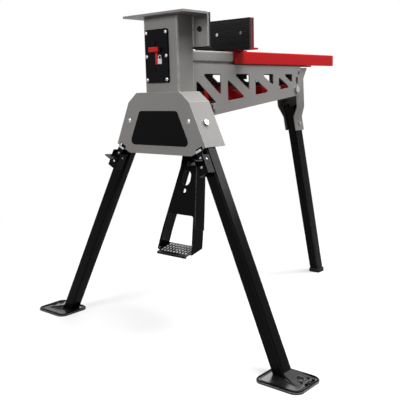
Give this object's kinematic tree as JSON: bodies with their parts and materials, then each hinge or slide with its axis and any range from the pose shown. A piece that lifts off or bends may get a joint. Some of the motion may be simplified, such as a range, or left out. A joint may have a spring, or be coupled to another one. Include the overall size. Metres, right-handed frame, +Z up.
{
  "type": "folding workbench",
  "caption": "Portable folding clamping bench: three legs, truss beam, jaw carriage on a rail worked by a foot pedal through a ratchet, with a lock lever on the front column.",
  "frame": {"origin": "on the floor under the middle of the bench's box, in its plane of symmetry", "axes": "+Z up, -Y is the front with the column and the two front legs, +Y runs back along the rail"},
  "size_m": [0.9696, 0.916, 0.872],
  "materials": {
    "grey_paint": "satin warm grey",
    "red_paint": "gloss red",
    "black_paint": "gloss black",
    "zinc": "zinc plated",
    "dark_steel": "blackened",
    "pad_rubber": "matt ribbed",
    "black_plastic": "matt",
    "dark_panel": "smooth"
  },
  "bodies": {
    "frame": {"bracket_screws": "zinc", "fixed_jaw_pad": "pad_rubber", "fixed_jaw_plate": "grey_paint", "fixed_jaw_screws": "dark_steel", "front_column": "grey_paint", "guide_rods": "zinc", "leg_bracket": "grey_paint", "leg_cheek_left": "grey_paint", "leg_cheek_right": "grey_paint", "leg_pivot_bolts": "zinc", "leg_pivot_washers": "zinc", "lock_cover": "black_plastic", "lock_cover_screws": "zinc", "name_panel": "dark_panel", "neck_bar": "grey_paint", "pedal_pivot_pin": "zinc", "pedal_spacers": "zinc", "rail": "grey_paint", "rear_pivot_bolt": "zinc", "rear_spacers": "zinc", "side_plate_left": "grey_paint", "side_plate_right": "grey_paint"},
    "carriage": {"slide_sleeve": "red_paint", "jaw_base": "red_paint", "moving_jaw_plate": "red_paint", "moving_jaw_pad_front": "pad_rubber", "moving_jaw_pad_rear": "pad_rubber", "moving_jaw_bolts": "zinc", "pawl_carrier": "dark_steel", "pawl_pin": "zinc"},
    "pawl_body": {"pawl": "dark_steel"},
    "crank": {"pedal_crank": "red_paint", "crank_pin": "zinc"},
    "pedal": {"pedal_arm": "black_paint", "pedal_tread": "black_paint"},
    "drive": {"drive_channel": "red_paint", "ratchet_rack": "dark_steel"},
    "lock": {"lock_lever": "red_paint", "lock_slide": "zinc"},
    "rear_leg": {"rear_bracket": "grey_paint", "rear_leg_tube": "black_paint", "rear_leg_bolt": "zinc", "rear_foot_cap": "black_plastic"},
    "left_leg": {"front_leg_left": "black_paint", "foot_plate_left": "black_paint", "latch_housing_left": "black_plastic", "latch_pin_left": "zinc"},
    "right_leg": {"front_leg_right": "black_paint", "foot_plate_right": "black_paint", "latch_housing_right": "black_plastic", "latch_pin_right": "zinc"},
    "left_latch": {"latch_lever_left": "black_paint"},
    "right_latch": {"latch_lever_right": "black_paint"}
  },
  "joints": [
    {"name": "carriage_slide", "type": "slide", "parent": "frame", "child": "carriage", "axis": [0, 1, 0], "range_m": [-0.17, 0.2]},
    {"name": "pawl_lift", "type": "hinge", "parent": "carriage", "child": "pawl_body", "pos_m": [0, -0.05736, 0.717], "axis": [-1, 0, 0], "range_deg": [0, 14], "stiffness_Nm_per_rad": 0.05, "springref_deg": -22.92},
    {"name": "pedal_press", "type": "hinge", "parent": "frame", "child": "crank", "pos_m": [0, -0.19936, 0.628], "axis": [1, 0, 0], "range_deg": [0, 18], "stiffness_Nm_per_rad": 8, "springref_deg": -34.38},
    {"name": "drive_travel", "type": "slide", "parent": "frame", "child": "drive", "axis": [0, 1, 0], "range_m": [-0.0195, 0]},
    {"name": "pedal_stow", "type": "hinge", "parent": "crank", "child": "pedal", "pos_m": [0, -0.19936, 0.628], "axis": [1, 0, 0], "range_deg": [-30, 0]},
    {"name": "rear_leg_fold", "type": "hinge", "parent": "frame", "child": "rear_leg", "pos_m": [0, 0.22664, 0.669], "axis": [1, 0, 0], "range_deg": [-78, 0]},
    {"name": "front_leg_left_fold", "type": "hinge", "parent": "frame", "child": "left_leg", "pos_m": [-0.1132, -0.34236, 0.582], "axis": [0.91, 0, -0.4147], "range_deg": [0, 94]},
    {"name": "front_leg_right_fold", "type": "hinge", "parent": "frame", "child": "right_leg", "pos_m": [0.1132, -0.34236, 0.582], "axis": [0.91, 0, 0.4147], "range_deg": [0, 94]},
    {"name": "latch_left_press", "type": "hinge", "parent": "left_leg", "child": "left_latch", "pos_m": [-0.15419, -0.37974, 0.49906], "axis": [0.8965, 0, -0.4431], "range_deg": [0, 18], "stiffness_Nm_per_rad": 0.3, "springref_deg": -20.05},
    {"name": "latch_right_press", "type": "hinge", "parent": "right_leg", "child": "right_latch", "pos_m": [0.15419, -0.37974, 0.49906], "axis": [0.8965, 0, 0.4431], "range_deg": [0, 18], "stiffness_Nm_per_rad": 0.3, "springref_deg": -20.05},
    {"name": "lock_travel", "type": "slide", "parent": "frame", "child": "lock", "axis": [0, 0, 1], "range_m": [-0.016, 0]}
  ],
  "couplings": [
    {"joint": "drive_travel", "follows": "pedal_press", "m_per_rad": -0.058},
    {"joint": "pedal_stow", "follows": "rear_leg_fold", "ratio": 0.38461}
  ]
}
